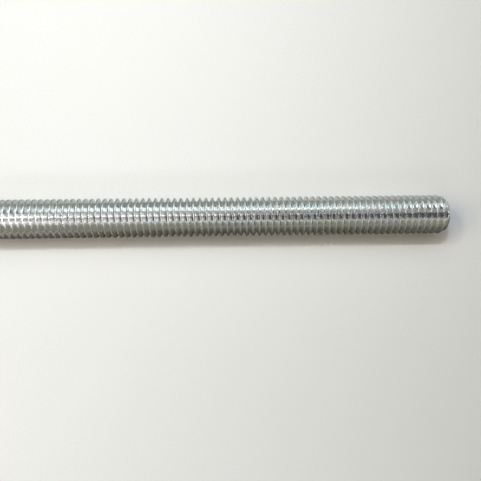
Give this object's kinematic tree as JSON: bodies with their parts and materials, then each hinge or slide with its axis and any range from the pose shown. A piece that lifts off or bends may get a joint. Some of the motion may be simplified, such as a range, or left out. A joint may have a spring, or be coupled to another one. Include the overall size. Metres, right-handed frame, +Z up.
{
  "type": "threaded rod",
  "caption": "Straight zinc-plated steel rod, threaded along its whole length, with both ends chamfered.",
  "frame": {"origin": "on the resting plane z = 0, under the middle of the rod's axis", "axes": "+X along the rod, towards the end that the picture shows; +Z up, away from the surface that the rod lies on; +Y completes the right-handed frame. The thread is right-handed about X either way round"},
  "size_m": [0.15, 0.0078, 0.0078],
  "materials": {
    "zinc_plated_steel": "bright zinc plating over a rolled thread, slightly bluish, darker in the thread's roots"
  },
  "bodies": {
    "root": {"threaded_rod": "zinc_plated_steel"}
  },
  "joints": []
}
